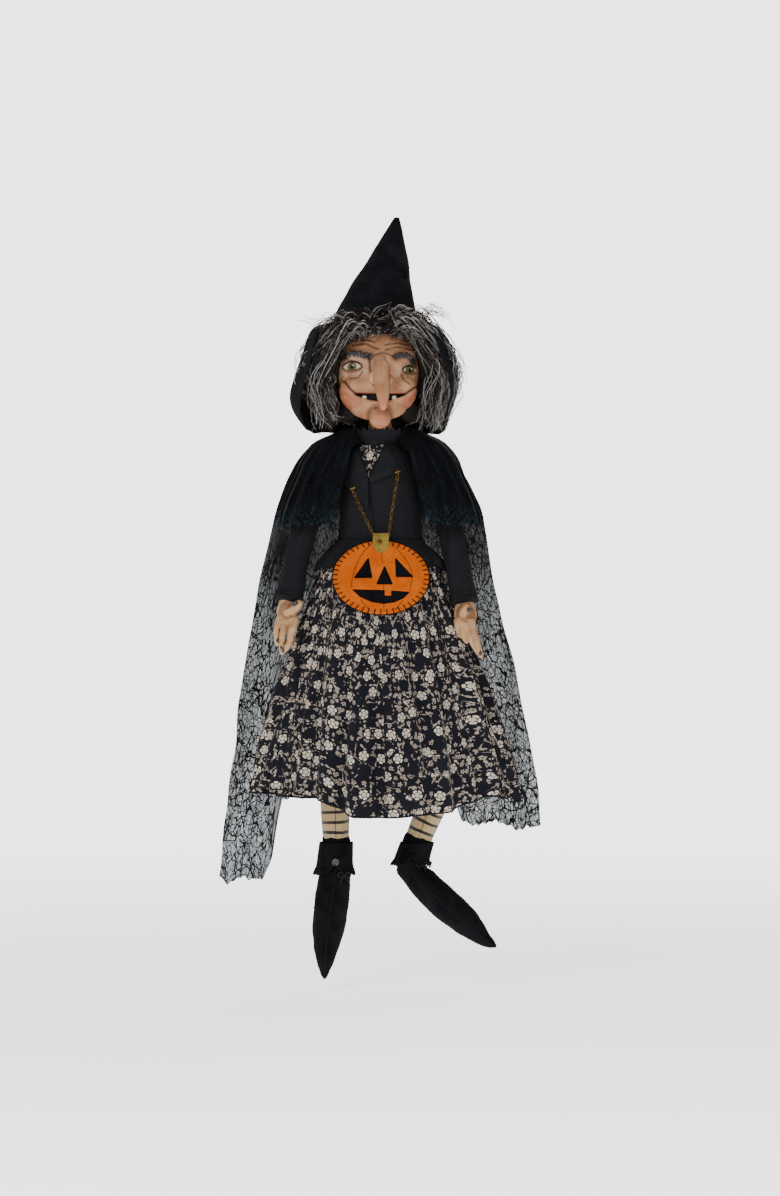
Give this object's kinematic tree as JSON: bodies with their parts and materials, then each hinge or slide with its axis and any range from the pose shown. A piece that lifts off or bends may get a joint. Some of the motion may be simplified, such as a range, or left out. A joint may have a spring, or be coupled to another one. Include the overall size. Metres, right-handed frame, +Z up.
{
  "type": "posable hanging witch doll",
  "caption": "Cloth-and-resin witch doll with pointed hat, net cape, printed skirt and pumpkin purse; posable limbs, hangs by an eyelet behind the neck.",
  "frame": {"origin": "centre of the brass hanging eyelet's bore, behind the neck", "axes": "+Z up towards the hat's tip, +Y out of the back towards the wall, the doll faces -Y"},
  "size_m": [0.3494, 0.2031, 0.813],
  "materials": {
    "body_calico": "matte stuffed calico",
    "steel_rod": "plain steel",
    "print_cotton": "black cotton with a cream flower print",
    "black_cotton": "matte black cotton",
    "brass": "aged brass",
    "web_net": "sheer grey net with black crackle lines",
    "painted_resin": "cast resin painted as a weathered face",
    "hand_resin": "cast resin painted as skin, black nails",
    "tooth": "ivory gloss",
    "hair": "wild black, brown and grey fibre",
    "hat_felt": "black felt",
    "orange_felt": "orange wool felt with black stitching",
    "black_felt": "black wool felt",
    "mustard_suede": "mustard suede",
    "stocking": "cream knit with thin black stripes",
    "button_black": "black gloss"
  },
  "bodies": {
    "torso": {"torso_form": "body_calico", "spine_rod": "steel_rod", "neck_post": "steel_rod", "shoulder_rod": "steel_rod", "hip_rod": "steel_rod", "shirt": "print_cotton", "jacket": "black_cotton", "jacket_lapels": "black_cotton", "jacket_peplum": "black_cotton", "collar_ruffle": "black_cotton", "skirt": "print_cotton", "hanging_tab": "black_cotton", "hanging_eyelet": "brass", "cape_back": "web_net", "cape_shoulder_right": "web_net", "cape_shoulder_left": "web_net", "purse_tacks": "brass"},
    "head": {"head": "painted_resin", "teeth": "tooth", "wig": "hair", "hat_brim": "hat_felt", "hat_crown": "hat_felt"},
    "purse": {"purse_front": "orange_felt", "purse_lining": "black_felt", "purse_back": "orange_felt", "purse_tab": "mustard_suede", "purse_bead": "brass", "purse_chain": "brass"},
    "upper_arm_right": {"upper_sleeve_right": "black_cotton", "upper_arm_bar_right": "steel_rod", "elbow_rivet_right": "steel_rod"},
    "forearm_right": {"forearm_sleeve_right": "black_cotton", "forearm_bar_right": "steel_rod"},
    "hand_right": {"hand_right": "hand_resin"},
    "thigh_right": {"thigh_stocking_right": "stocking", "thigh_bar_right": "steel_rod", "knee_rivet_right": "steel_rod"},
    "shin_right": {"shin_stocking_right": "stocking", "shin_bar_right": "steel_rod", "ankle_rivet_right": "steel_rod"},
    "foot_right": {"foot_bar_right": "steel_rod", "boot_right": "black_felt", "boot_cuff_right": "black_felt", "boot_button_right": "button_black"},
    "upper_arm_left": {"upper_sleeve_left": "black_cotton", "upper_arm_bar_left": "steel_rod", "elbow_rivet_left": "steel_rod"},
    "forearm_left": {"forearm_sleeve_left": "black_cotton", "forearm_bar_left": "steel_rod"},
    "hand_left": {"hand_left": "hand_resin"},
    "thigh_left": {"thigh_stocking_left": "stocking", "thigh_bar_left": "steel_rod", "knee_rivet_left": "steel_rod"},
    "shin_left": {"shin_stocking_left": "stocking", "shin_bar_left": "steel_rod", "ankle_rivet_left": "steel_rod"},
    "foot_left": {"foot_bar_left": "steel_rod", "boot_left": "black_felt", "boot_cuff_left": "black_felt", "boot_button_left": "button_black"}
  },
  "joints": [
    {"name": "neck_turn", "type": "hinge", "parent": "torso", "child": "head", "pos_m": [0, -0.03, 0], "axis": [0, 0, 1], "range_deg": [-30, 30]},
    {"name": "shoulder_right", "type": "hinge", "parent": "torso", "child": "upper_arm_right", "pos_m": [-0.06, -0.03, -0.035], "axis": [-1, 0, 0], "range_deg": [0, 80], "deforming": ["cape_shoulder_right"]},
    {"name": "elbow_right", "type": "hinge", "parent": "upper_arm_right", "child": "forearm_right", "pos_m": [-0.082, -0.036, -0.108], "axis": [-1, 0, 0], "range_deg": [0, 75]},
    {"name": "wrist_right", "type": "hinge", "parent": "forearm_right", "child": "hand_right", "pos_m": [-0.098, -0.058, -0.18], "axis": [-0.1993, -0.2864, -0.9372], "range_deg": [-45, 45]},
    {"name": "hip_right", "type": "hinge", "parent": "torso", "child": "thigh_right", "pos_m": [-0.038, -0.03, -0.15], "axis": [-1, 0, 0], "range_deg": [-8, 8]},
    {"name": "knee_right", "type": "hinge", "parent": "thigh_right", "child": "shin_right", "pos_m": [-0.05, -0.032, -0.295], "axis": [1, 0, 0], "range_deg": [0, 25]},
    {"name": "ankle_right", "type": "hinge", "parent": "shin_right", "child": "foot_right", "pos_m": [-0.047, -0.03, -0.448], "axis": [-1, 0, 0], "range_deg": [-10, 12]},
    {"name": "shoulder_left", "type": "hinge", "parent": "torso", "child": "upper_arm_left", "pos_m": [0.058, -0.03, -0.035], "axis": [-1, 0, 0], "range_deg": [0, 80], "deforming": ["cape_shoulder_left"]},
    {"name": "elbow_left", "type": "hinge", "parent": "upper_arm_left", "child": "forearm_left", "pos_m": [0.076, -0.036, -0.108], "axis": [-1, 0, 0], "range_deg": [0, 75]},
    {"name": "wrist_left", "type": "hinge", "parent": "forearm_left", "child": "hand_left", "pos_m": [0.09, -0.058, -0.182], "axis": [0.1683, -0.2809, -0.9449], "range_deg": [-45, 45]},
    {"name": "hip_left", "type": "hinge", "parent": "torso", "child": "thigh_left", "pos_m": [0.038, -0.03, -0.15], "axis": [-1, 0, 0], "range_deg": [-8, 8]},
    {"name": "knee_left", "type": "hinge", "parent": "thigh_left", "child": "shin_left", "pos_m": [0.085, -0.032, -0.305], "axis": [0, 1, 0], "range_deg": [-22, 5]},
    {"name": "ankle_left", "type": "hinge", "parent": "shin_left", "child": "foot_left", "pos_m": [0.037, -0.03, -0.448], "axis": [0, -1, 0], "range_deg": [-10, 12]},
    {"name": "purse_swing", "type": "hinge", "parent": "torso", "child": "purse", "pos_m": [0.019, -0.0615, -0.0436], "axis": [-0.9379, 0.0684, -0.34], "range_deg": [0, 35]}
  ]
}
